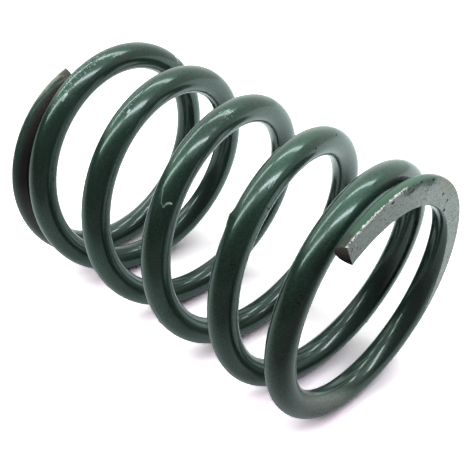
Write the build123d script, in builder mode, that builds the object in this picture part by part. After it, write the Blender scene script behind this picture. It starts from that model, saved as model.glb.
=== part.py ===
from build123d import *

import os
from math import cos, pi, radians, sin, sqrt

# Valve spring: one right-hand coil of round wire, closed and ground flat at both ends.
# It stands on its low ground face, with +Z along the axis of the coil.

# Driving dimensions in mm and in turns of the coil, with the spring free and unloaded
wire_dia = 3.5
mean_dia = 29.4
active_pitch = 10.8
total_turns = 6.04

# Low end: the stretch that lies closed, the tip that bends inwards, and what grinding leaves of it
low_tip_angle = 50
low_closed_turns = 0.60
low_blend_turns = 0.84
low_tip_gap = 0.10
low_tip_shift = -1.10
low_tip_turns = 0.33
low_tip_thickness = 1.95

# Top end: the same, with a tip that springs outwards and stands a little open
top_closed_turns = 0.84
top_blend_turns = 0.74
top_tip_gap = 1.10
top_tip_shift = 1.80
top_tip_turns = 0.235
top_tip_thickness = 1.60

# Places in each turn that the centreline is made to pass through
points_per_turn = 24

wire_radius = wire_dia / 2
mean_radius = mean_dia / 2


def ramp_area(share):
    """Area under a smooth ramp from 0 to 1, up to a share of its length, and on beyond it."""
    held = min(max(share, 0), 1)
    return held**3 - held**4 / 2 + max(share - 1, 0)


def closed_pitch(tip_gap, tip_shift, closed_turns, blend_turns):
    """Rise per turn of a closed end whose tip stays the gap clear of the next turn."""
    first_rise = sqrt((wire_dia + tip_gap) ** 2 - tip_shift**2)
    opened = blend_turns * ramp_area((1 - closed_turns) / blend_turns)
    return (first_rise - opened * active_pitch) / (1 - opened)


def shortfall(turns, end_pitch, closed_turns, blend_turns):
    """Height that a closed end takes off an even helix over the given turns from its tip."""
    opened = blend_turns * ramp_area((turns - closed_turns) / blend_turns)
    return (active_pitch - end_pitch) * (turns - opened)


low_pitch = closed_pitch(low_tip_gap, low_tip_shift, low_closed_turns, low_blend_turns)
top_pitch = closed_pitch(top_tip_gap, top_tip_shift, top_closed_turns, top_blend_turns)
low_end = (low_pitch, low_closed_turns, low_blend_turns)
top_end = (top_pitch, top_closed_turns, top_blend_turns)


def rise(turns):
    """Height of the centreline above its start, the given turns along the wire."""
    low_part = shortfall(turns, *low_end)
    top_part = shortfall(total_turns, *top_end) - shortfall(total_turns - turns, *top_end)
    return active_pitch * turns - low_part - top_part


def tip_bend(turns, tip_shift, tip_turns):
    """How far the wire stands off its mean radius, the given turns from a tip."""
    return tip_shift * max(1 - turns / tip_turns, 0) ** 2


def centre(turns):
    """Point on the centreline of the wire, with the low ground face at height 0."""
    radius = mean_radius + tip_bend(turns, low_tip_shift, low_tip_turns)
    radius += tip_bend(total_turns - turns, top_tip_shift, top_tip_turns)
    angle = radians(low_tip_angle) + 2 * pi * turns
    height = low_tip_thickness - wire_radius + rise(turns)
    return (radius * cos(angle), radius * sin(angle), height)


free_length = centre(total_turns)[2] - wire_radius + top_tip_thickness
low_face = Plane.XY
top_face = Plane.XY.offset(free_length)

# The wire is swept along its coil, then both ends are ground off flat
with BuildPart() as valve_spring:
    with BuildLine() as coil:
        steps = round(total_turns * points_per_turn)
        Spline([centre(total_turns * step / steps) for step in range(steps + 1)])
    with BuildSketch(Plane(origin=coil.line @ 0, z_dir=coil.line % 0)):
        Circle(wire_radius)
    sweep(is_frenet=True)
    swept_volume = valve_spring.part.volume
    split(bisect_by=low_face, keep=Keep.TOP)
    split(bisect_by=top_face, keep=Keep.BOTTOM)

wire_length = coil.wires()[0].length
print(f"free length {free_length:.2f} mm from {wire_length:.1f} mm of wire")
print(f"swept {swept_volume:.1f} mm3, section by length {pi * wire_radius**2 * wire_length:.1f} mm3")

valve_spring.part.label = "valve_spring"
os.makedirs("parts", exist_ok=True)
export_step(valve_spring.part, "parts/valve_spring.step")
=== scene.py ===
"""Looks of the valve spring: glossy dark green paint on a coil of round wire, with ground steel ends."""

from math import cos, pi, radians, sin, sqrt, tan

import bmesh
import bpy
import numpy as np
from mathutils import Matrix, Vector, noise
from mathutils.bvhtree import BVHTree


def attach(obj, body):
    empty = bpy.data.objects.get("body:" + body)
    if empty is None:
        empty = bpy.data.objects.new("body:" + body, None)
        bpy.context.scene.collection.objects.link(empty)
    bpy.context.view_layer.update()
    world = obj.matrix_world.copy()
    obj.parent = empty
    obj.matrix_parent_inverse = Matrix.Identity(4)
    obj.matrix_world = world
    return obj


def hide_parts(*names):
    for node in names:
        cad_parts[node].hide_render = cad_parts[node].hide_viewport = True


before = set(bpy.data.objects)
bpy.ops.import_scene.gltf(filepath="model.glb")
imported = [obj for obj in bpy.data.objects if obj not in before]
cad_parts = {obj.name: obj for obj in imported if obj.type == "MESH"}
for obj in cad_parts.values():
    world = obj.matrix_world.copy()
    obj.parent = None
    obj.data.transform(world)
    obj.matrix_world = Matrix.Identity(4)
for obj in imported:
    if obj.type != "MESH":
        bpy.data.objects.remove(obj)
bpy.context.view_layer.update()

MM = 0.001

# The coil, as the CAD part has it: lengths in mm, stretches of wire in turns
wire_dia = 3.5
mean_dia = 29.4
active_pitch = 10.8
total_turns = 6.04
low_tip_angle = 50
low_closed_turns, low_blend_turns = 0.60, 0.84
low_tip_gap, low_tip_shift, low_tip_turns, low_tip_thickness = 0.10, -1.10, 0.33, 1.95
top_closed_turns, top_blend_turns = 0.84, 0.74
top_tip_gap, top_tip_shift, top_tip_turns, top_tip_thickness = 1.10, 1.80, 0.235, 1.60
wire_radius = wire_dia / 2
mean_radius = mean_dia / 2
turn_length = pi * mean_dia
wire_length = total_turns * turn_length

# The mesh: points along each ground or round side of a ring, and mm of wire between rings
flat_points = 15
side_points = 15
ring_step = 0.40
fine_ring_step = 0.24
fine_turns = 0.75

# The least half arc of a ground side in radians, and the mm of headroom over which it opens to an even share
least_half_angle = 0.07
flat_spread = 0.35

# Half the stretch of wire, in turns, from which its direction is taken
small_turn = 1e-4

# Edges of the mesh that are bent by this many degrees or more stay sharp
crease_angle = 28

# The broken edges of the ground faces: how wide in mm, how uneven, and the most of a face that each takes
edge_break = 0.07
edge_unevenness = 0.8
edge_waves_per_mm = 1.9
edge_share = 0.125

# Where the noise for the two edges is taken: how far apart, and at what depth
edge_apart, edge_depth = 7, 3

# How far the buried side of each tip stands out, in mm, and the rings over which it slants
top_tip_slant, low_tip_slant, slant_rings = 0.38, -0.35, 6

# What the material is told of the middle of a cut end: well off the ground planes, in mm
cut_end_facts = (9, 0, 0)

# The photograph's view. The spring lies on its side there, so the floor beside it is upright in this frame.
camera_place = Vector((23.509, 81.754, 78.884)) * MM
camera_aim = Vector((-4.946, -2.311, 31.703)) * MM
camera_roll = 4.935
focal_px, centre_px = 764.456, (265.848, 276.703)
image_px = 470
sensor_width = 36
clip_near, clip_far = 0.005, 20
floor_angle = 28
floor_up = Vector((cos(radians(floor_angle)), sin(radians(floor_angle)), 0))

# Distances from the camera, in mm, between which a line of sight that misses the wire is searched
search_start, search_stop, search_step = 60, 150, 0.5


def ramp_area(share):
    """Area under a smooth ramp from 0 to 1, up to a share of its length, and on beyond it."""
    held = np.clip(share, 0, 1)
    return held**3 - held**4 / 2 + np.maximum(share - 1, 0)


def closed_pitch(tip_gap, tip_shift, closed_turns, blend_turns):
    """Rise per turn of a closed end whose tip stays the gap clear of the next turn."""
    first_rise = sqrt((wire_dia + tip_gap) ** 2 - tip_shift**2)
    opened = blend_turns * ramp_area((1 - closed_turns) / blend_turns)
    return (first_rise - opened * active_pitch) / (1 - opened)


def shortfall(turns, end_pitch, closed_turns, blend_turns):
    """Height that a closed end takes off an even helix over the given turns from its tip."""
    opened = blend_turns * ramp_area((turns - closed_turns) / blend_turns)
    return (active_pitch - end_pitch) * (turns - opened)


low_pitch = closed_pitch(low_tip_gap, low_tip_shift, low_closed_turns, low_blend_turns)
top_pitch = closed_pitch(top_tip_gap, top_tip_shift, top_closed_turns, top_blend_turns)
low_end = (low_pitch, low_closed_turns, low_blend_turns)
top_end = (top_pitch, top_closed_turns, top_blend_turns)


def rise(turns):
    """Height of the centreline above its start, the given turns along the wire."""
    low_part = shortfall(turns, *low_end)
    top_part = shortfall(total_turns, *top_end) - shortfall(total_turns - turns, *top_end)
    return active_pitch * turns - low_part - top_part


def tip_bend(turns, tip_shift, tip_turns):
    """How far the wire stands off its mean radius, the given turns from a tip."""
    return tip_shift * np.maximum(1 - turns / tip_turns, 0) ** 2


def centre(turns):
    """Points on the centreline of the wire, in mm, one row for each of the turns."""
    radius = mean_radius + tip_bend(turns, low_tip_shift, low_tip_turns)
    radius = radius + tip_bend(total_turns - turns, top_tip_shift, top_tip_turns)
    angle = radians(low_tip_angle) + 2 * pi * turns
    height = low_tip_thickness - wire_radius + rise(turns)
    return np.stack([radius * np.cos(angle), radius * np.sin(angle), height], axis=-1)


free_length = centre(total_turns)[2] - wire_radius + top_tip_thickness


def facing(place, aim, up, roll):
    """Matrix of a thing at the place that looks at the aim along its own -Z, rolled off upright."""
    back = (place - aim).normalized()
    side = up.cross(back).normalized()
    turn = Matrix((side, back.cross(side), back)).transposed().to_4x4()
    return Matrix.Translation(place) @ turn @ Matrix.Rotation(radians(roll), 4, "Z")


camera_matrix = facing(camera_place, camera_aim, floor_up, camera_roll)


def unit(rows):
    """The rows of vectors, each made one long."""
    return rows / np.linalg.norm(rows, axis=-1, keepdims=True)


def wire_turns():
    """Where the rings of the mesh stand along the wire, closer together near the top tip."""
    fine_rings = round(fine_turns * turn_length / fine_ring_step)
    plain_rings = round((total_turns - fine_turns) * turn_length / ring_step)
    plain = np.linspace(0, total_turns - fine_turns, plain_rings, endpoint=False)
    return np.concatenate([plain, np.linspace(total_turns - fine_turns, total_turns, fine_rings + 1)])


def direction(turns):
    """The way that the wire runs, the given turns along it."""
    return unit(centre(turns + small_turn) - centre(turns - small_turn))


def sections(turns):
    """Centres of the rings, and the directions outwards and upwards in the plane of each."""
    along = direction(turns)
    middle = centre(turns)
    outward = middle * [1, 1, 0]
    outward = unit(outward - (outward * along).sum(axis=1, keepdims=True) * along)
    return middle, outward, np.cross(outward, along)


def half_angle(headroom, lift):
    """Half of the arc of a ring that is given to a flat, where its plane is that far from the centre."""
    even = pi * flat_points / (2 * (flat_points + side_points))
    ground = np.arccos(np.clip(headroom / (wire_radius * lift), -1, 1))
    spread = np.clip((headroom - wire_radius * lift) / flat_spread, 0, 1)
    clear = least_half_angle + (even - least_half_angle) * spread
    return np.where(ground > 0, np.maximum(ground, least_half_angle), clear)


def round_wire():
    """Points of the wire before it is ground, ring by ring, with what is known of each ring."""
    turns = wire_turns()
    middle, outward, upward = sections(turns)
    lift = np.abs(upward[:, 2])
    top_half = half_angle(free_length - middle[:, 2], lift)[:, None]
    low_half = half_angle(middle[:, 2], lift)[:, None]
    quarter = pi / 2
    side = np.arange(side_points) / side_points
    flat = np.arange(flat_points) / flat_points
    angle = np.concatenate([
        low_half - quarter + (pi - top_half - low_half) * side,
        quarter - top_half + 2 * top_half * flat,
        quarter + top_half + (pi - top_half - low_half) * side,
        3 * quarter - low_half + 2 * low_half * flat,
    ], axis=1)
    out = np.cos(angle)[..., None] * outward[:, None] + np.sin(angle)[..., None] * upward[:, None]
    return turns, middle, outward, upward, out


def in_wire(points, turns, middle, outward, upward):
    """Points as a length along the wire and two distances across it, in mm, so that patterns follow it."""
    across = points - middle[:, None]
    along = np.broadcast_to(turns[:, None] * turn_length, points.shape[:2])
    outwards = (across * outward[:, None]).sum(axis=-1)
    upwards = (across * upward[:, None]).sum(axis=-1)
    return np.stack([along, outwards, upwards], axis=-1)


# The bare wire, which pixels of the photograph are looked up on
turns, middle, outward, upward, out = round_wire()
bare = middle[:, None] + wire_radius * out
bare[..., 2] = np.clip(bare[..., 2], 0, free_length)
rings, around = bare.shape[:2]
index = np.arange(rings * around).reshape(rings, around)
right = np.roll(index, -1, axis=1)
quads = np.stack([index[:-1], index[1:], right[1:], right[:-1]], axis=-1).reshape(-1, 4)
bare_wire = BVHTree.FromPolygons(bare.reshape(-1, 3).tolist(), quads.tolist())
bare_in_wire = in_wire(bare, turns, middle, outward, upward)


def nearest_on_ray(ray):
    """The point of a line of sight that passes closest to the wire."""
    reaches = np.arange(search_start, search_stop, search_step)
    seen = [camera_place / MM + ray.normalized() * reach for reach in reaches]
    return min(seen, key=lambda point: (bare_wire.find_nearest(point)[0] - point).length)


def hit(pixel):
    """The length along the wire and the two distances across it, for what a pixel of the photograph shows."""
    x, y = (pixel[0] - centre_px[0]) / focal_px, (centre_px[1] - pixel[1]) / focal_px
    ray = camera_matrix.to_3x3() @ Vector((x, y, -1))
    place = bare_wire.ray_cast(camera_place / MM, ray)[0]
    if place is None:
        place = bare_wire.find_nearest(nearest_on_ray(ray))[0]
    place = np.array(place)
    angle = np.arctan2(place[1], place[0]) / pi * 180
    turn = (angle - low_tip_angle) / 360 + np.arange(round(total_turns) + 2)
    turn = turn[(turn >= 0) & (turn <= total_turns)]
    turn = turn[[np.argmin(np.linalg.norm(centre(turn) - place, axis=1))]]
    return in_wire(place[None, None], turn, *sections(turn))[0, 0]


# Lumps of the paint, and dents below 0: the pixel that shows each, its height, and its two reaches in mm
lump = ((227, 216), 0.17, 0.7, 0.7)
lump_top = ((231, 212), 0.13, 0.28, 0.6)
nick = ((177.5, 57.5), -0.28, 0.28, 0.8)
dent = ((213, 133), -0.035, 0.5, 0.45)
nib = ((159, 323), 0.10, 0.22, 0.30)
crack_dent = ((269, 209), -0.07, 0.18, 0.5)
streak_kink = ((205, 131), -0.03, 0.8, 0.5)
hook = ((166, 207), 0.035, 0.30, 0.5)
long_lump = ((143, 98), 0.03, 0.9, 0.5)
low_nib = ((369, 321), 0.08, 0.20, 0.25)
side_nib = ((239, 304), 0.08, 0.20, 0.25)
lumps = (lump, lump_top, nick, dent, nib, crack_dent, streak_kink, hook, long_lump, low_nib, side_nib)

# Waves all over the paint: their height and size in mm, how drawn out they are, where their noise starts
slow_waves = (0.014, 2.6, 0.35, 0)
quick_waves = (0.002, 1.1, 0.5, 40)


def swell(pixel, height, reach_along, reach_round):
    """Height of a rounded lump, or of a dent, at a pixel of the photograph."""
    away = (bare_in_wire - hit(pixel)) / [reach_along, reach_round, reach_round]
    return height * np.exp(-(away**2).sum(axis=-1))


def waves(height, size, drawn_out, seed):
    """Height of waves in the paint that are longer along the wire than round it."""
    rows = bare_in_wire.reshape(-1, 3) * [drawn_out, 1, 1] + seed
    return height * np.array([noise.noise(Vector(row) / size) for row in rows]).reshape(rings, around)


def skin():
    """How far the paint stands off the round wire: waves all over, and its lumps and dents."""
    return waves(*slow_waves) + waves(*quick_waves) + sum(swell(*each) for each in lumps)


def edge_widths(ring, plane, chord):
    """How wide the two broken edges of a ground face are at a ring."""
    along = turns[ring] * turn_length * edge_waves_per_mm
    rough = [noise.noise(Vector((along, end * edge_apart + plane, edge_depth))) for end in (0, 1)]
    return [min(edge_break * (1 + edge_unevenness * each), chord * edge_share) for each in rough]


def grind(points, sign, plane, first):
    """Cuts the rings off at a ground plane, with a broken edge, and says how far in each point is."""
    inside = np.zeros(points.shape[:2])
    columns = (first + np.arange(flat_points + 1)) % around
    for ring in range(rings):
        run = points[ring, columns]
        if sign * (run[len(run) // 2, 2] - plane) <= 0:
            continue
        a, b = run[0].copy(), run[-1].copy()
        a[2] = b[2] = plane
        chord = np.linalg.norm(b - a)
        cut = edge_widths(ring, plane, chord)
        share = np.linspace(cut[0] / chord, 1 - cut[1] / chord, flat_points - 1)
        points[ring, columns[1:-1]] = a + (b - a) * share[:, None]
        points[ring, columns[0]] = a - [0, 0, sign * cut[0]]
        points[ring, columns[-1]] = b - [0, 0, sign * cut[1]]
        inside[ring, columns[1:-1]] = chord * np.minimum(share, 1 - share)
    return inside


def slant_end(points, rows, depth, slant, way):
    """Moves the buried side of a tip along the wire, which was sheared off slanting before it was ground."""
    share = np.linspace(0, 1, slant_rings)[::way]
    reach = slant * np.clip(depth[rows] / wire_radius, 0, 1) * share[:, None]
    along = direction(turns[rows]) * [1, 1, 0]
    points[rows] += way * reach[..., None] * along[:, None]


def with_cut_ends(rows):
    """Rows for the points of the rings, with those for the middles of the two cut ends added."""
    return np.concatenate([rows, [rows[:around].mean(axis=0), rows[-around:].mean(axis=0)]])


def store(mesh, name, rows):
    """Keeps three numbers for each point of the mesh, for its material to read."""
    kept = mesh.attributes.new(name, "FLOAT_VECTOR", "POINT")
    kept.data.foreach_set("vector", np.ascontiguousarray(rows, dtype=np.float32).ravel())


def smooth(mesh):
    """Turns the faces outwards and shades them smooth, but for the sharp edges of the ground faces."""
    work = bmesh.new()
    work.from_mesh(mesh)
    bmesh.ops.recalc_face_normals(work, faces=work.faces)
    for face in work.faces:
        face.smooth = True
    for edge in work.edges:
        edge.smooth = edge.calc_face_angle(0) < radians(crease_angle)
    work.to_mesh(mesh)
    work.free()


def wire_mesh(points):
    """The rings joined up, with a fan of triangles over each cut end."""
    low_middle, top_middle = rings * around, rings * around + 1
    fans = [(low_middle, index[0, i], right[0, i]) for i in range(around)]
    fans += [(top_middle, right[-1, i], index[-1, i]) for i in range(around)]
    mesh = bpy.data.meshes.new("valve_spring_painted")
    mesh.from_pydata(with_cut_ends(points.reshape(-1, 3) * MM).tolist(), [], quads.tolist() + fans)
    mesh.update()
    cut = mesh.attributes.new("cut_end", "FLOAT", "FACE")
    cut.data.foreach_set("value", np.arange(len(mesh.polygons)) >= len(quads))
    return mesh


def build_wire():
    """The painted wire, ground flat at both ends."""
    points = middle[:, None] + (wire_radius + skin())[..., None] * out
    top_inside = grind(points, 1, free_length, side_points)
    low_inside = grind(points, -1, 0.0, 2 * side_points + flat_points)
    points[..., 2] = np.clip(points[..., 2], 0, free_length)
    across = in_wire(points, turns, middle, outward, upward).reshape(-1, 3)
    top_depth, low_depth = free_length - points[..., 2], points[..., 2]
    slant_end(points, slice(-slant_rings, None), top_depth, top_tip_slant, 1)
    slant_end(points, slice(0, slant_rings), low_depth, low_tip_slant, -1)

    mesh = wire_mesh(points)
    store(mesh, "wire", with_cut_ends(across))
    off_plane = np.minimum(points[..., 2], free_length - points[..., 2]).reshape(-1)
    facts = np.stack([off_plane, (top_inside + low_inside).reshape(-1), across[:, 1]], axis=-1)
    store(mesh, "facts", np.concatenate([facts, [cut_end_facts, cut_end_facts]]))
    smooth(mesh)
    return bpy.data.objects.new("valve_spring_painted", mesh)


spring = build_wire()
bpy.context.scene.collection.objects.link(spring)
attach(spring, "root")
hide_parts("valve_spring")


class Shading:
    """Adds shader nodes one after another. An input is a number, a colour or an earlier node's output."""

    def __init__(self, tree):
        self.tree = tree

    def add(self, kind, *inputs, out=0, **settings):
        made = self.tree.nodes.new("ShaderNode" + kind)
        for name, value in settings.items():
            setattr(made, name, value)
        for socket, value in zip(made.inputs, inputs):
            self.set(socket, value)
        return made.outputs[out]

    def set(self, socket, value):
        if isinstance(value, bpy.types.NodeSocket):
            self.tree.links.new(value, socket)
        elif value is not None:
            socket.default_value = value

    def math(self, operation, *inputs):
        return self.add("Math", *inputs, operation=operation)

    def vector(self, operation, *inputs, out=0):
        return self.add("VectorMath", *inputs, operation=operation, out=out)

    def dot(self, place, way):
        return self.vector("DOT_PRODUCT", place, tuple(way), out=1)

    def noise(self, place, scale, detail=2, out=0):
        made = self.tree.nodes.new("ShaderNodeTexNoise")
        for name, value in (("Vector", place), ("Scale", scale), ("Detail", detail)):
            self.set(made.inputs[name], value)
        return made.outputs[out]

    def step(self, value, start, stop, low=0.0, high=1.0):
        """Goes from low to high while the value goes from start to stop."""
        return self.add("MapRange", value, start, stop, low, high, clamp=True)

    def blend(self, share, first, second):
        """Goes from the first colour to the second."""
        made = self.tree.nodes.new("ShaderNodeMix")
        made.data_type = "RGBA"
        for place, value in ((0, share), (6, first), (7, second)):
            self.set(made.inputs[place], value)
        return made.outputs[2]

    def between(self, share, first, second):
        """Goes from the first number to the second."""
        made = self.tree.nodes.new("ShaderNodeMix")
        for place, value in ((0, share), (2, first), (3, second)):
            self.set(made.inputs[place], value)
        return made.outputs[0]

    def any_of(self, shares):
        """Joins each share to those before it as soon as it is made, to keep the shader's memory small."""
        found = 0
        for share in shares:
            found = self.math("MAXIMUM", found, share)
        return found

    def either(self, *shares):
        found = shares[0]
        for share in shares[1:]:
            found = self.math("MAXIMUM", found, share)
        return found

    def both(self, *shares):
        found = shares[0]
        for share in shares[1:]:
            found = self.math("MULTIPLY", found, share)
        return found

    def without(self, share):
        return self.math("SUBTRACT", 1, share)

    def attribute(self, name, out=1):
        made = self.tree.nodes.new("ShaderNodeAttribute")
        made.attribute_name = name
        return made.outputs[out]


# Colours of the paint
paint_green = (0.051, 0.116, 0.082, 1)
paint_dull = (0.055, 0.091, 0.077, 1)
paint_dark = (0.030, 0.060, 0.044, 1)
tip_green = (0.062, 0.135, 0.090, 1)
old_paint = (0.20, 0.30, 0.235, 1)
dark_remnant = (0.075, 0.12, 0.085, 1)

# Colours of what marks it
# Pale of the scuffs, also the colour of the painted highlight along the hook
pale_scuff_and_highlight = (0.62, 0.86, 0.77, 1)
beige = (0.40, 0.41, 0.33, 1)
matt_grey = (0.26, 0.285, 0.25, 1)
cream = (0.78, 0.80, 0.74, 1)
olive = (0.13, 0.12, 0.09, 1)
rust = (0.12, 0.075, 0.05, 1)
grime = (0.055, 0.052, 0.040, 1)
dirt = (0.008, 0.012, 0.010, 1)
# Painted shade for the crevices between turns: grey, and browner in speckles near the low tip
crevice_shade_grey = (0.036, 0.030, 0.032, 1)
crevice_shade_brown = (0.075, 0.062, 0.052, 1)

# Colours of the bare wire
steel_dark = (0.12, 0.125, 0.115, 1)
steel_light = (0.44, 0.445, 0.42, 1)
rust_pale = (0.34, 0.28, 0.18, 1)
cut_brown = (0.32, 0.30, 0.22, 1)
# Painted shade on the inner side of the cut ends
cut_end_painted_shade = (0.015, 0.015, 0.028, 1)

# Rounded marks: the pixel of the photograph that shows each, and its reach along and across the wire in mm
first_turn_band = ((78, 74), 6.0, 0.9)
second_turn_band = ((134, 98), 3.0, 0.5)
pale_cluster = ((227, 115), 1.6, 0.6)
first_turn_fleck = ((63, 98), 0.5, 0.3)
dark_cluster = ((300, 294), 1.3, 0.9)
dark_patch = ((231, 270), 1.1, 0.6)
low_flank_specks = ((52, 178), 1.2, 0.8)
dark_specks = (((315, 149), 0.16, 0.14), ((336, 135), 0.16, 0.14))
inner_rust = ((215, 143), 0.28, 0.16)
edge_rust = ((125, 58), 0.4, 0.2)
far_tip = ((64, 73), 1.0, 0.9)
near_tip = ((344, 244), 1.3, 1.3)
fleck_stain = ((70, 101), 1.0, 0.9)
bottom_speckle = ((322, 405), 8.0, 1.7)
rust_stain = ((448, 185), 4.0, 1.3)
pit_pxs = (
    (413, 191), (392.5, 203.5), (404, 192), (421, 181), (433, 180), (443, 194), (447, 200.5), (444, 210),
)
pit_reach = (0.36, 0.24)

# Straight marks: from one pixel of the photograph to another, how wide in mm, and how much they show
first_flecks = (
    ((127.5, 113), (129.2, 110.5), 0.17, 0.8), ((62.5, 101), (65, 96.5), 0.17, 0.6),
    ((65, 96.5), (66.5, 94.5), 0.20, 0.9), ((267.8, 212.5), (265.5, 216.5), 0.15, 0.5),
)
# A painted highlight: the lamp's streak where it bends round the hook
hook_highlight_lines = (
    ((163, 190), (161, 203), 0.10, 0.25), ((161, 203), (163, 208), 0.10, 0.3),
    ((163, 208), (166, 205), 0.14, 0.45), ((166, 205), (169, 204.3), 0.16, 0.7),
    ((169, 204.3), (171, 205.2), 0.15, 0.9),
)
scratches = (
    ((273.5, 178), (268, 189), 0.08, 0.6), ((275.5, 179), (271, 188), 0.07, 0.6),
    ((99, 60), (109, 55.5), 0.12, 0.5), ((113, 57), (121, 54), 0.10, 0.5),
    ((219, 113), (229, 110), 0.08, 0.6), ((226, 111), (232, 118), 0.08, 0.6),
)
crack = ((265.8, 209), (268.4, 212), 0.15, 1)
nick_floor = ((177, 56), (179, 62), 0.10, 0.8)
far_rim = (
    ((63, 76), (57, 77), 0.24, 0.7), ((57, 77), (46, 88), 0.50, 0.8),
    ((46, 88), (36, 98), 0.62, 0.85), ((36, 98), (28, 110), 0.50, 0.6),
)

# Lengths along the wire, in mm from its low tip, of places that the photograph shows
fleck_row_end_px, remnant_end_px = (404, 190), (434, 178)
crevice_end_pxs = ((415, 173), (380, 190))
top_tip_stretch = 22
fleck_row, remnant_row = hit(fleck_row_end_px)[0], hit(remnant_end_px)[0]
crevice_start, crevice_stop = (hit(pixel)[0] for pixel in crevice_end_pxs)
top_tip_start = wire_length - top_tip_stretch
half_way = wire_length / 2

# Noise that breaks up the marks: how fine it is, and how far it moves their edges in mm
coarse_scale, fine_scale, ragged_scale = 1.1, 5.5, 3.0
ragged_reach = 0.40

# How much of a mark's reach shows in full
spot_core, stroke_core = 0.6, 0.2


class Place:
    """What the shader of the wire knows of each place on it, with lengths in mm."""

    def __init__(self, s):
        self.wire = s.attribute("wire")
        self.length, self.across, self.upwards = s.add("SeparateXYZ", self.wire).node.outputs
        facts = s.add("SeparateXYZ", s.attribute("facts")).node.outputs
        # The last is what across is, but fades to 0 in the middle of a cut end
        self.off_plane, self.inside, self.outwards = facts
        self.cut_end = s.attribute("cut_end", out=2)
        self.coarse = s.noise(self.wire, coarse_scale, detail=3)
        self.fine = s.noise(self.wire, fine_scale, detail=4)
        moved = s.noise(self.wire, ragged_scale, detail=3, out=1)
        moved = s.vector("MULTIPLY_ADD", moved, (ragged_reach,) * 3, self.wire)
        self.ragged = s.vector("SUBTRACT", moved, (ragged_reach / 2,) * 3)


def spot(s, place, pixel, along, across):
    """A rounded mark round a pixel, with its reach along the wire and across it, in mm."""
    away = s.vector("DIVIDE", s.vector("SUBTRACT", place, tuple(hit(pixel))), (along, across, across))
    return s.step(s.vector("LENGTH", away, out=1), 1.0, spot_core)


def stroke(s, place, start, end, width, shown):
    """A straight mark from one pixel to another."""
    a, b = Vector(hit(start)), Vector(hit(end))
    from_a = s.vector("SUBTRACT", place, tuple(a))
    share = s.add("Clamp", s.dot(from_a, (b - a) / (b - a).length_squared), 0.0, 1.0)
    away = s.vector("DISTANCE", from_a, s.vector("MULTIPLY", share, tuple(b - a)), out=1)
    return s.both(s.step(away, width, stroke_core * width), shown)


def spots(s, place, marks):
    return s.any_of(spot(s, place, *mark) for mark in marks)


def strokes(s, place, lines):
    return s.any_of(stroke(s, place, *line) for line in lines)


# Where each kind of mark starts to show in the noise, and where it shows in full
band_speckle, scratch_speckle = (0.60, 0.66), (0.30, 0.55)
loose_speckle, loose_patches = (0.74, 0.76), (0.45, 0.6)
cluster_speckle, dirt_speckle = (0.44, 0.38), (0.27, 0.25)
rim_speckle, rust_speckle = (0.25, 0.5), (0.42, 0.5)
grime_speckle, stain_speckle, matt_speckle = (0.25, 0.55), (0.40, 0.62), (0.10, 0.55)

# How much each mark covers of the paint below it
dirt_share, speck_share = 0.8, 0.6
far_tip_share, near_tip_share, fleck_stain_share, matt_share = 0.7, 0.85, 0.25, 0.85


def dark_marks(s, at):
    """Dirt: dark clusters and specks, a crack, and the floor of the nick."""
    clusters = spots(s, at.ragged, (dark_cluster, dark_patch, low_flank_specks))
    dark = s.both(s.step(at.fine, *cluster_speckle), clusters)
    dark = s.either(dark, s.both(s.step(at.fine, *dirt_speckle), dirt_share))
    dark = s.either(dark, strokes(s, at.ragged, (crack, nick_floor)))
    return s.either(dark, spots(s, at.ragged, dark_specks))


def pale_marks_and_hook_highlight(s, at):
    """Paint worn pale in speckled bands, loose specks, scratches and flecks, and a painted highlight along
    the hook.
    """
    bands = spots(s, at.ragged, (first_turn_band, second_turn_band, pale_cluster, first_turn_fleck))
    pale = s.both(s.step(at.fine, *band_speckle), bands, speck_share)
    loose = s.both(s.step(at.fine, *loose_speckle), s.step(at.coarse, *loose_patches), speck_share)
    pale = s.either(pale, loose)
    scratched = s.both(strokes(s, at.ragged, scratches), s.step(at.fine, *scratch_speckle))
    pale = s.either(pale, scratched)
    # The flecks, and the painted highlight along the hook
    return s.either(pale, strokes(s, at.wire, first_flecks + hook_highlight_lines))


def rubbed_rim(s, at):
    """The outer rim of the low end, where it is rubbed."""
    return s.both(strokes(s, at.ragged, far_rim), s.step(at.fine, *rim_speckle))


def rust_spots(s, at):
    return s.both(spots(s, at.ragged, (inner_rust, edge_rust)), s.step(at.fine, *rust_speckle))


def worn_far_tip(s, at):
    return s.both(spot(s, at.ragged, *far_tip), far_tip_share)


def grimy_near_tip(s, at):
    return s.both(spot(s, at.ragged, *near_tip), s.step(at.fine, *grime_speckle), near_tip_share)


def stain_by_fleck(s, at):
    return s.both(spot(s, at.ragged, *fleck_stain), s.step(at.fine, *stain_speckle), fleck_stain_share)


def matt_bottom(s, at):
    """A speckled stretch near the bottom of the photograph's view, where the gloss is gone."""
    return s.both(spot(s, at.ragged, *bottom_speckle), s.step(at.fine, *matt_speckle), matt_share)


# What marks the paint, from the first mark to the last, and the colour of each
marks = (
    (dark_marks, dirt), (pale_marks_and_hook_highlight, pale_scuff_and_highlight), (rubbed_rim, beige), (rust_spots, rust), (worn_far_tip, olive),
    (grimy_near_tip, grime), (stain_by_fleck, olive), (matt_bottom, matt_grey),
)

# The paint's clouds: how drawn out along the wire, how fine, how much they count, and how dark turns to green
cloud_stretch, cloud_scale, cloud_share, grain_fade = (0.25, 1, 1), 0.35, 0.5, (0.40, 0.60)

# Stretches along the wire, in mm, over which the paint changes
low_crevice_fade, tip_crevice_fade = (0.42 * turn_length, 0.30 * turn_length), 3
brown_stretch, brown_speckle = (12, 2), (0.3, 0.6)
low_dull_stretch, top_dull_stretch, tip_green_stretch = (26, 8), 10, 12
top_dullness = 0.65

# Distances across the wire, in mm, over which it changes: upwards for the crevices, outwards for the rest
low_crevice_side, tip_crevice_side = (0.3, 1.1), (1.2, 1.5)
low_crevice_share, tip_crevice_share = 0.9, 0.8
green_side, cut_shade_side = (-0.2, 1.4), (-0.9, 1.5)


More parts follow.
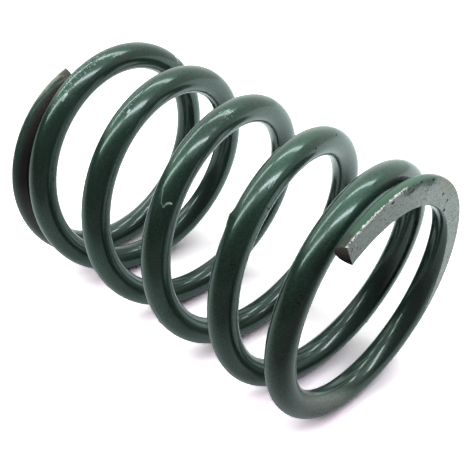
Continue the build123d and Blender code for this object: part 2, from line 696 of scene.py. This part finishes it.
def crevices(s, at):
    """Painted shade on the upper side of the low end, which the next turn hides, and in the narrow gap under
    the top tip.
    """
    low = s.both(s.step(at.length, *low_crevice_fade), s.step(at.upwards, *low_crevice_side))
    low = s.both(low, low_crevice_share)
    after = s.step(at.length, crevice_start - tip_crevice_fade, crevice_start)
    before = s.step(at.length, crevice_stop, crevice_stop - tip_crevice_fade)
    top = s.both(after, before, s.step(at.upwards, *tip_crevice_side), tip_crevice_share)
    return s.either(low, top)


def clean_paint(s, at):
    """The paint with its clouds and painted shade in its crevices, duller inside the coil and greener at the
    top tip.
    """
    clouds = s.noise(s.vector("MULTIPLY", at.wire, cloud_stretch), cloud_scale, detail=3)
    grain = s.math("MULTIPLY_ADD", at.fine, 1 - cloud_share, s.both(clouds, cloud_share))
    green = s.blend(s.step(at.outwards, *green_side), paint_dull, paint_green)
    colour = s.blend(s.step(grain, *grain_fade), paint_dark, green)
    greener = s.step(at.length, top_tip_start, top_tip_start + tip_green_stretch)
    colour = s.blend(greener, colour, tip_green)
    browner = s.both(s.step(at.length, *brown_stretch), s.step(at.fine, *brown_speckle))
    # Painted shade over the crevices
    return s.blend(crevices(s, at), colour, s.blend(browner, crevice_shade_grey, crevice_shade_brown))


def marked_paint(s, at):
    """Colour of the paint and of the cut ends of the wire, and where they have no gloss."""
    colour = clean_paint(s, at)
    dull_top = s.step(at.length, top_tip_start, top_tip_start + top_dull_stretch, 0.0, top_dullness)
    dull = s.either(s.step(at.length, *low_dull_stretch), dull_top)
    for share_of, tint in marks:
        share = share_of(s, at)
        colour = s.blend(share, colour, tint)
        dull = s.either(dull, share)
    # The cut ends: brown steel, with painted shade towards their inner side
    cut_colour = s.blend(s.step(at.across, *cut_shade_side), cut_end_painted_shade, cut_brown)
    return s.blend(at.cut_end, colour, cut_colour), s.either(dull, at.cut_end)


# The ground faces: how close to their plane they start, in mm, and which side of the wire is the outer one
ground_gap = (0.045, 0.015)
outer_side = (0.1, 0.5)

# The lines of the grinding: the way that they run in degrees, their spacing in metres, how much they show
grind_angle, grind_steps, grind_share = 125, (0.0020, 0.00032, 0.01), 0.25

# What is left on the ground faces: where the noise lets it show, and how the steel gets lighter along them
pit_speckle, pit_patches = (0.385, 0.355), (0.44, 0.54)
remnant_waves, remnant_edge, remnant_speckle = -2.6, (0.0, -0.6), (0.38, 0.52)
remnant_after, remnant_before, remnant_fade = 1.0, 0.5, 2
steel_from, steel_to = 0.32, (0.72, 0.58)
rust_stain_speckle, rust_stain_share = (0.50, 0.58), 0.8


def grinding_lines(s):
    """Noise in lines across the ground faces."""
    turn = (0, 0, radians(grind_angle))
    place = s.add("Mapping", s.add("TexCoord", out=3), None, turn, grind_steps, vector_type="TEXTURE")
    return s.noise(place, 1.0)


def paint_remnants(s, at, ground, outer):
    """Old paint along the outer edge of the top ground face, near its tip."""
    edge = s.step(s.math("MULTIPLY_ADD", at.coarse, remnant_waves, at.inside), *remnant_edge)
    before = s.step(at.length, fleck_row + remnant_after, fleck_row - remnant_before)
    after = s.step(at.length, remnant_row - remnant_fade, remnant_row)
    return s.both(edge, ground, outer, before, after)


def pits(s, at, ground):
    """Pits in the ground faces, single ones and scattered ones."""
    single = spots(s, at.ragged, [(pixel, *pit_reach) for pixel in pit_pxs])
    scattered = s.both(s.step(at.fine, *pit_speckle), s.step(at.coarse, *pit_patches))
    return s.both(ground, s.either(single, scattered))


def steel(s, at, lines):
    """Colour of the ground steel: mottled, lined by the grinding and stained on one side."""
    mottle = s.math("ADD", s.both(lines, grind_share), s.both(at.fine, 1 - grind_share))
    lighter = s.step(at.length, fleck_row, remnant_row, *steel_to)
    colour = s.blend(s.step(mottle, steel_from, lighter), steel_dark, steel_light)
    stained = s.both(spot(s, at.ragged, *rust_stain), s.step(at.fine, *rust_stain_speckle), rust_stain_share)
    return s.blend(stained, colour, rust_pale)


# Bright broken edges: where they start and end, in mm, and where the noise lets them show
rim_waves, rim_edge = -0.7, (-0.16, -0.26)
tip_row_fade, tip_row_share = 0.8, 0.45
fleck_patches, fleck_speckle = 0.8, (0.84, 0.92)
worn_waves, worn_edge, worn_share = -0.5, (0.10, 0.0), 0.7


def broken_edges(s, at, colour, outer):
    """Adds the bright outer edges of both ground faces, and says where the top one has pale flecks."""
    from_edge = s.math("ADD", at.off_plane, at.inside)
    on_rim = s.step(s.math("MULTIPLY_ADD", at.fine, rim_waves, from_edge), *rim_edge)
    on_rim = s.both(on_rim, s.without(at.cut_end))
    tip_row = s.both(s.step(at.length, fleck_row - tip_row_fade, fleck_row), outer, on_rim)
    colour = s.blend(s.both(tip_row, tip_row_share), colour, steel_light)
    flecked = s.step(s.math("MULTIPLY_ADD", at.coarse, fleck_patches, at.fine), *fleck_speckle)
    flecked = s.both(tip_row, flecked)
    colour = s.blend(flecked, colour, cream)
    worn = s.step(s.math("MULTIPLY_ADD", at.coarse, worn_waves, at.off_plane), *worn_edge)
    worn = s.both(s.step(at.length, half_way, half_way - 1), outer, worn, worn_share)
    return s.blend(worn, colour, steel_light), flecked


# Gloss: the paint's, a dull mark's, the ground steel's and a pale fleck's
paint_metallic, dull_metallic, steel_metallic, fleck_metallic = 0.6, 0.05, 0.9, 0.1
paint_rough, dull_rough, steel_rough, steel_rough_speckle = 0.31, 0.6, (0.36, 0.55), (0.3, 0.7)
coat_rough, coat_lost_where_dull = 0.12, -0.8

# The relief's height in metres, and the noise that makes it
bump_strength, bump_height = 0.4, 0.00006
drawn_stretch, drawn_share = (0.35, 3.2, 3.2), 0.3
wave_scale, wave_share = 1.3, 0.45
line_relief_share, fine_relief_share = 0.15, 0.3


def relief(s, at, lines):
    """Fine relief. Marks stay out of it: they would take the shader beyond what the renderer can hold."""
    drawn = s.noise(s.vector("MULTIPLY", at.wire, drawn_stretch), 1.0, detail=2)
    waved = s.both(s.noise(at.wire, wave_scale, detail=1), wave_share)
    on_paint = s.math("MULTIPLY_ADD", drawn, drawn_share, waved)
    on_steel = s.math("MULTIPLY_ADD", lines, line_relief_share, s.both(at.fine, fine_relief_share))
    height = s.between(s.step(at.off_plane, *ground_gap), on_paint, on_steel)
    bump = s.add("Bump").node
    bump.inputs["Strength"].default_value = bump_strength
    bump.inputs["Distance"].default_value = bump_height
    s.set(bump.inputs["Height"], height)
    return bump.outputs[0]


def ground_ends(s, at, colour, dull, lines):
    """Adds the ground faces to the colour and the dull places, and says where steel and flecks are bare."""
    ground = s.both(s.step(at.off_plane, *ground_gap), s.without(at.cut_end))
    outer = s.step(at.outwards, *outer_side)
    pitted = pits(s, at, ground)
    remnants = paint_remnants(s, at, ground, outer)
    colour = s.blend(remnants, colour, s.blend(s.step(at.fine, *remnant_speckle), dark_remnant, old_paint))
    colour = s.blend(pitted, colour, dirt)
    covered = s.either(remnants, pitted)
    bared = s.both(ground, s.without(covered))
    colour = s.blend(bared, colour, steel(s, at, lines))
    colour, flecked = broken_edges(s, at, colour, outer)
    return colour, s.either(dull, covered, flecked), bared, flecked


def set_gloss(s, shader, at, dull, bared, flecked):
    """Makes the paint a metallic one under a clear coat, which the bare steel lacks."""
    paint_metal = s.between(dull, paint_metallic, dull_metallic)
    steel_metal = s.between(flecked, steel_metallic, fleck_metallic)
    s.set(shader.inputs["Metallic"], s.between(bared, paint_metal, steel_metal))
    paint_roughness = s.between(dull, paint_rough, dull_rough)
    steel_roughness = s.step(at.fine, *steel_rough_speckle, *steel_rough)
    s.set(shader.inputs["Roughness"], s.between(bared, paint_roughness, steel_roughness))
    coat = s.both(s.without(bared), s.math("MULTIPLY_ADD", dull, coat_lost_where_dull, 1))
    s.set(shader.inputs["Coat Weight"], coat)
    shader.inputs["Coat Roughness"].default_value = coat_rough
    shader.inputs["Specular IOR Level"].default_value = 0.0


def paint():
    """Glossy green paint with its marks, and what the grinding has bared of the steel."""
    mat = bpy.data.materials.new("spring_paint")
    mat.use_nodes = True
    shader = mat.node_tree.nodes["Principled BSDF"]
    s = Shading(mat.node_tree)
    at = Place(s)
    colour, dull = marked_paint(s, at)
    lines = grinding_lines(s)
    colour, dull, bared, flecked = ground_ends(s, at, colour, dull, lines)
    s.set(shader.inputs["Base Color"], colour)
    set_gloss(s, shader, at, dull, bared, flecked)
    s.set(shader.inputs["Normal"], relief(s, at, lines))
    return mat


spring.data.materials.append(paint())


def place_camera():
    """The photograph's camera, with the shift that its framing needs."""
    camera = bpy.data.objects.new("camera", bpy.data.cameras.new("camera"))
    camera.data.sensor_width = sensor_width
    camera.data.lens = sensor_width * focal_px / image_px
    camera.data.shift_x = (image_px / 2 - centre_px[0]) / image_px
    camera.data.shift_y = (centre_px[1] - image_px / 2) / image_px
    camera.data.clip_start, camera.data.clip_end = clip_near, clip_far
    camera.matrix_world = camera_matrix
    bpy.context.scene.collection.objects.link(camera)
    bpy.context.scene.camera = camera


place_camera()
bpy.context.scene.view_settings.view_transform = "Standard"

# The stage: level directions towards the photograph's camera and to its right, seen along the floor
camera_back = (camera_place - camera_aim).normalized()
near = (camera_back - floor_up * camera_back.dot(floor_up)).normalized()
to_right = floor_up.cross(near)
across_coil = Vector((0, 0, 1)).cross(floor_up)

# The floor, in metres: how far below the spring's axis it lies, its reach, and where its colours change
floor_drop = 16.45 * MM
floor_reach = 1.5
floor_turn = (-0.004, 0.006)

# Its colours for the camera, behind the spring and before it: above 1, so that it is white in this light
floor_behind, floor_before = (1.56, 1.48, 1.48, 1), (2.50, 2.26, 2.36, 1)

# The shadow where the spring touches the floor
contact_reach, contact_samples, contact_fade, contact_share = 0.004, 8, (0.85, 0.35), 0.55
contact_colour = (0.25, 0.25, 0.30, 1)

# The floor as the spring mirrors it, palest behind it on the right, and as it throws light on the spring
mirror_fade, mirror_side_fade, mirror_left = (0.015, 0.065), (-0.08, 0.03), 0.45
mirrored_colour, bounced_colour = (0.82, 0.94, 0.91, 1), (0.146, 0.122, 0.128, 1)


def floor_colour(s):
    """White to the camera, with a contact shadow, less pale in reflections, and dark where it lights."""
    rays = s.add("LightPath").node.outputs
    ways = (near, to_right, across_coil)
    in_front, beside, past_coil = (s.dot(s.add("NewGeometry"), way) for way in ways)
    behind = s.step(in_front, *mirror_fade, 1, 0)
    mirrored = s.both(rays["Is Glossy Ray"], behind, s.step(beside, *mirror_side_fade, mirror_left, 1))
    pale = s.either(rays["Is Camera Ray"], mirrored)
    paper = s.blend(s.step(past_coil, *floor_turn), floor_behind, floor_before)
    openness = s.add("AmbientOcclusion", None, contact_reach, out=1, samples=contact_samples)
    paper = s.blend(s.both(s.step(openness, *contact_fade), contact_share), paper, contact_colour)
    return s.blend(pale, bounced_colour, s.blend(rays["Is Camera Ray"], mirrored_colour, paper))


def floor_material():
    """The floor's colour on top. Its back can't be seen, so that the spring shows from below too."""
    mat = bpy.data.materials.new("floor")
    mat.use_nodes = True
    nodes = mat.node_tree.nodes
    nodes.remove(nodes["Principled BSDF"])
    s = Shading(mat.node_tree)
    seen = s.add("BsdfDiffuse", floor_colour(s))
    is_back = s.add("NewGeometry", out=6)
    s.set(nodes["Material Output"].inputs[0], s.add("MixShader", is_back, seen, s.add("BsdfTransparent")))
    return mat


def lay_floor():
    """A floor on the side that the spring lies on in the photograph."""
    middle = -floor_up * floor_drop
    corners = [(-1, -1), (-1, 1), (1, 1), (1, -1)]
    places = [middle + (to_right * a + near * b) * floor_reach for a, b in corners]
    mesh = bpy.data.meshes.new("floor")
    mesh.from_pydata(places, [], [(0, 1, 2, 3)])
    mesh.materials.append(floor_material())
    floor = bpy.data.objects.new("floor", mesh)
    bpy.context.scene.collection.objects.link(floor)


# The lamps: their height in metres, which their starts and stops are shares of, and their tints
lamp_height = 0.5
cool, lavender = (0.92, 0.98, 1), (0.92, 0.90, 1)


def hang_tube(name, lean, start, stop, width, glow, tint):
    """A long thin lamp across the view, leaning from overhead towards the camera by some degrees."""
    place = floor_up * lamp_height + near * (lamp_height * tan(radians(lean)))
    place = place + to_right * ((start + stop) / 2 * lamp_height)
    data = bpy.data.lights.new(name, "AREA")
    data.shape = "RECTANGLE"
    data.size, data.size_y = (stop - start) * lamp_height, width
    data.energy = pi * data.size * data.size_y * glow
    data.color = tint
    lamp = bpy.data.objects.new(name, data)
    back = place.normalized()
    across = back.cross(to_right).normalized()
    turn = Matrix((across.cross(back), across, back)).transposed().to_4x4()
    lamp.matrix_world = Matrix.Translation(place) @ turn
    lamp.visible_camera = False
    bpy.context.scene.collection.objects.link(lamp)


lay_floor()
hang_tube("tube_near_left", lean=17.5, start=-1.18, stop=-0.06, width=0.080, glow=6.8, tint=cool)
hang_tube("tube_near_right", lean=14.5, start=-0.08, stop=1.02, width=0.068, glow=11.0, tint=lavender)
hang_tube("tube_far_left", lean=-28.5, start=-1.25, stop=-0.30, width=0.075, glow=6.8, tint=cool)
hang_tube("tube_far_right", lean=-26.5, start=-0.20, stop=0.88, width=0.075, glow=7.0, tint=cool)

# The room: where its ceiling ends on the left, behind and in front, and how softly, as slopes and directions
ceiling_left, ceiling_back, ceiling_front = 1.6, 1.3, 0.35
left_fade, front_fade = (0.0, 0.35), (0.24, -0.12)
right_fade, right_glow = (0.15, 1.0), (1.0, 0.45)
low_fade, low_side_fade, wall_fade = (0.8, 0.0), (-0.9, -0.1), (-0.2, 0.5)

# The room's light: the glow of its ceiling, what that gains near the horizon, its walls', and their tints
ceiling_glow, horizon_glow, wall_glow = 0.76, 0.42, 0.045
ceiling_tint, horizon_tint = (0.95, 1, 0.97, 1), (0.93, 1, 0.95, 1)
back_wall_tint, front_wall_tint = (1.12, 0.96, 0.98, 1), (1.36, 0.92, 1.02, 1)


def light_world():
    """White to the camera. The rest is a dark room whose bright ceiling ends on the left and in front."""
    world = bpy.data.worlds.new("studio")
    bpy.context.scene.world = world
    world.use_nodes = True
    s = Shading(world.node_tree)
    room = world.node_tree.nodes["Background"]
    ray = s.add("TexCoord", out=0)
    sideways, forwards, upwards = (s.dot(ray, way) for way in (to_right, near, floor_up))
    past_left = s.math("MULTIPLY_ADD", s.math("MINIMUM", forwards, 0), -ceiling_back, sideways)
    left_end = s.step(s.math("MULTIPLY_ADD", upwards, ceiling_left, past_left), *left_fade)
    front_end = s.step(s.math("MULTIPLY_ADD", upwards, -ceiling_front, forwards), *front_fade)
    right_end = s.step(sideways, *right_fade, *right_glow)
    low = s.both(s.step(upwards, *low_fade), s.step(sideways, *low_side_fade))
    bright = s.math("MULTIPLY_ADD", low, horizon_glow, ceiling_glow)
    ceiling = s.both(left_end, front_end)
    wall = s.blend(s.step(forwards, *wall_fade), back_wall_tint, front_wall_tint)
    s.set(room.inputs["Color"], s.blend(ceiling, wall, s.blend(low, ceiling_tint, horizon_tint)))
    s.set(room.inputs["Strength"], s.math("ADD", s.both(ceiling, right_end, bright), wall_glow))
    white = s.add("Background", (1, 1, 1, 1), 1.0)
    camera_ray = s.add("LightPath", out=0)
    output = world.node_tree.nodes["World Output"]
    s.set(output.inputs[0], s.add("MixShader", camera_ray, room.outputs[0], white))


light_world()
